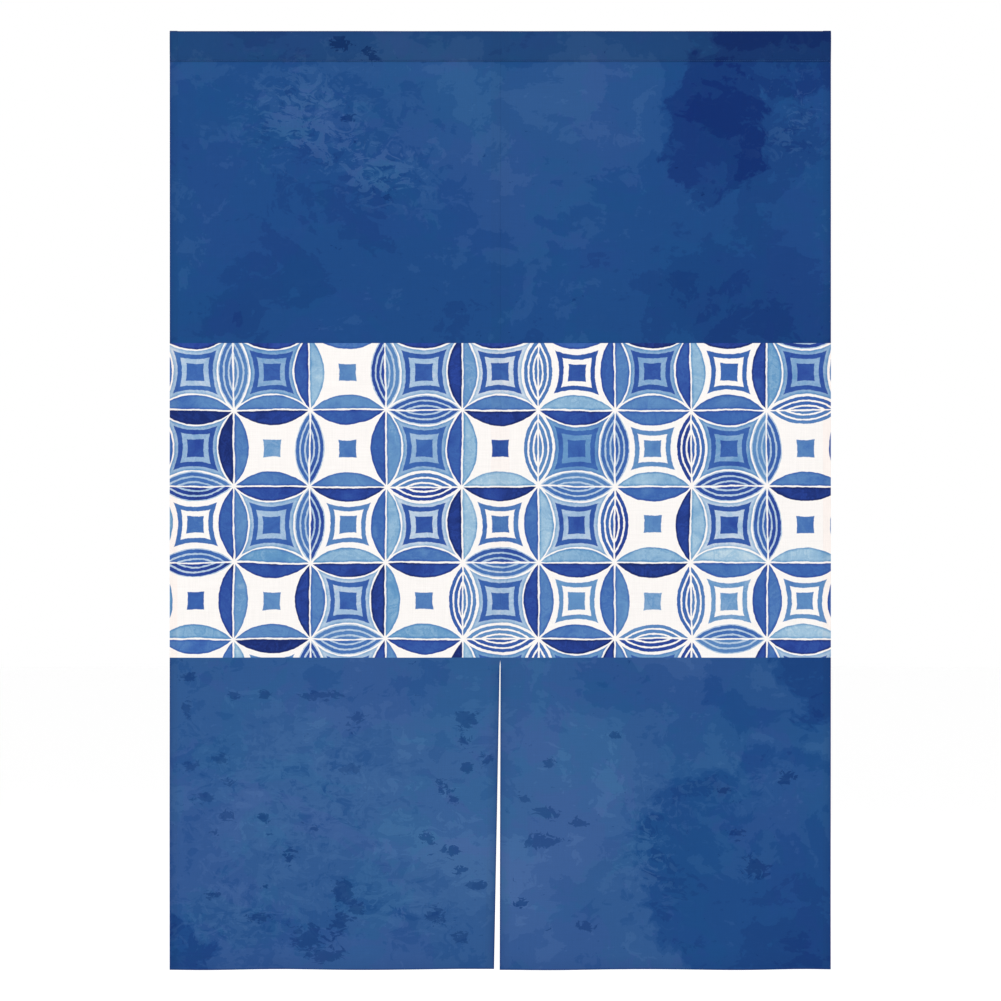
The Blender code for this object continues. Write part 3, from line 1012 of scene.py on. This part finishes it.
class NOREN_OT_stitches(bpy.types.Operator):
    """Sew the hems and the rod pocket"""

    bl_idname = "noren.sew_stitches"
    bl_label = "Sew stitches"

    def execute(self, context):
        cloth = context.scene.noren_cloth
        thread = thread_material("indigo_thread", linear(34, 66, 124))
        rows = [row for piece in LENGTHS for row in hem_stitch_rows(piece, cloth)]
        settle(sew("hem_stitches", *joined_rows(rows), cloth.thread, thread))
        settle(sew("pocket_stitches", *joined_rows(pocket_stitch_rows(cloth)), cloth.thread, thread))
        return {"FINISHED"}


def area_light(name, place, target, size, power, shade):
    data = bpy.data.lights.new(name, "AREA")
    data.shape = "DISK"
    data.size = size
    data.energy = power
    data.color = shade
    lamp = bpy.data.objects.new(name, data)
    bpy.context.scene.collection.objects.link(lamp)
    lamp.location = place
    lamp.rotation_euler = (Vector(target) - Vector(place)).to_track_quat("-Z", "Y").to_euler()


class NOREN_OT_stage(bpy.types.Operator):
    """Set up the pale floor, the soft studio light and the front camera"""

    bl_idname = "noren.set_stage"
    bl_label = "Set stage"

    def execute(self, context):
        scene = context.scene
        cloth, stage = scene.noren_cloth, scene.noren_stage
        middle = Vector((0.0, 0.0, -cloth.drop / 2))

        floor_mesh = bpy.data.meshes.new("floor")
        angle = 2 * math.pi * np.arange(FLOOR_SIDES) / FLOOR_SIDES
        rim = FLOOR_RADIUS * np.stack([np.cos(angle), np.sin(angle), np.zeros(FLOOR_SIDES)], axis=1)
        floor_mesh.from_pydata(rim.tolist(), [], [list(range(FLOOR_SIDES))])
        floor = bpy.data.objects.new("floor", floor_mesh)
        scene.collection.objects.link(floor)
        floor.location.z = -cloth.drop - stage.floor_below
        paint = bpy.data.materials.new("floor_paint")
        paint.use_nodes = True
        shader = paint.node_tree.nodes["Principled BSDF"]
        shader.inputs["Base Color"].default_value = (0.99, 0.99, 0.99, 1.0)
        shader.inputs["Roughness"].default_value = 0.9
        floor_mesh.materials.append(paint)

        world = bpy.data.worlds.new("studio")
        world.use_nodes = True
        background = world.node_tree.nodes["Background"]
        background.inputs["Color"].default_value = (1.0, 1.0, 1.0, 1.0)
        background.inputs["Strength"].default_value = stage.sky
        scene.world = world
        area_light("key", (-2.2, -3.4, 1.4), middle, 2.0, stage.key, (1.0, 0.99, 0.97))
        area_light("fill", (2.8, -3.0, -0.2), middle, 2.4, stage.fill, (0.97, 0.985, 1.0))
        area_light("back", (1.2, 3.4, 1.6), middle, 2.2, 0.7 * stage.key, (1.0, 1.0, 1.0))

        camera_data = bpy.data.cameras.new("camera")
        camera_data.lens = stage.lens
        camera_data.sensor_width = 36.0
        camera_data.dof.use_dof = False
        camera = bpy.data.objects.new("camera", camera_data)
        scene.collection.objects.link(camera)
        away = PICTURE_WIDTH * stage.lens / camera_data.sensor_width
        off_x, off_z = PICTURE_OFF_CENTRE
        camera.location = (off_x, cloth.front - away, middle.z + off_z)
        camera.rotation_euler = (math.radians(90), 0.0, 0.0)
        camera_data.clip_end = 100.0
        scene.camera = camera
        scene.view_settings.view_transform = "Standard"
        return {"FINISHED"}


class NOREN_PT_sidebar(bpy.types.Panel):
    """Sizes, print and steps of the noren curtain"""

    bl_idname = "NOREN_PT_sidebar"
    bl_label = "Noren curtain"
    bl_space_type = "VIEW_3D"
    bl_region_type = "UI"
    bl_category = "Noren"

    def draw(self, context):
        layout = self.layout
        for title, group in (
            ("Cloth", context.scene.noren_cloth),
            ("Print", context.scene.noren_print),
            ("Stage", context.scene.noren_stage),
        ):
            box = layout.box()
            box.label(text=title)
            for name in group.__annotations__:
                box.prop(group, name)
        for operator in OPERATORS:
            layout.operator(operator.bl_idname)


GROUPS = (NorenCloth, NorenPrint, NorenStage)
OPERATORS = (NOREN_OT_panels, NOREN_OT_pocket, NOREN_OT_stitches, NOREN_OT_stage)


def register():
    for group in (*GROUPS, *OPERATORS, NOREN_PT_sidebar):
        bpy.utils.register_class(group)
    bpy.types.Scene.noren_cloth = PointerProperty(type=NorenCloth)
    bpy.types.Scene.noren_print = PointerProperty(type=NorenPrint)
    bpy.types.Scene.noren_stage = PointerProperty(type=NorenStage)


def unregister():
    del bpy.types.Scene.noren_stage
    del bpy.types.Scene.noren_print
    del bpy.types.Scene.noren_cloth
    for group in reversed((*GROUPS, *OPERATORS, NOREN_PT_sidebar)):
        bpy.utils.unregister_class(group)


def main():
    register()
    bpy.ops.noren.fold_pocket()
    bpy.ops.noren.hang_panels()
    bpy.ops.noren.sew_stitches()
    bpy.ops.noren.set_stage()


if __name__ == "__main__":
    main()
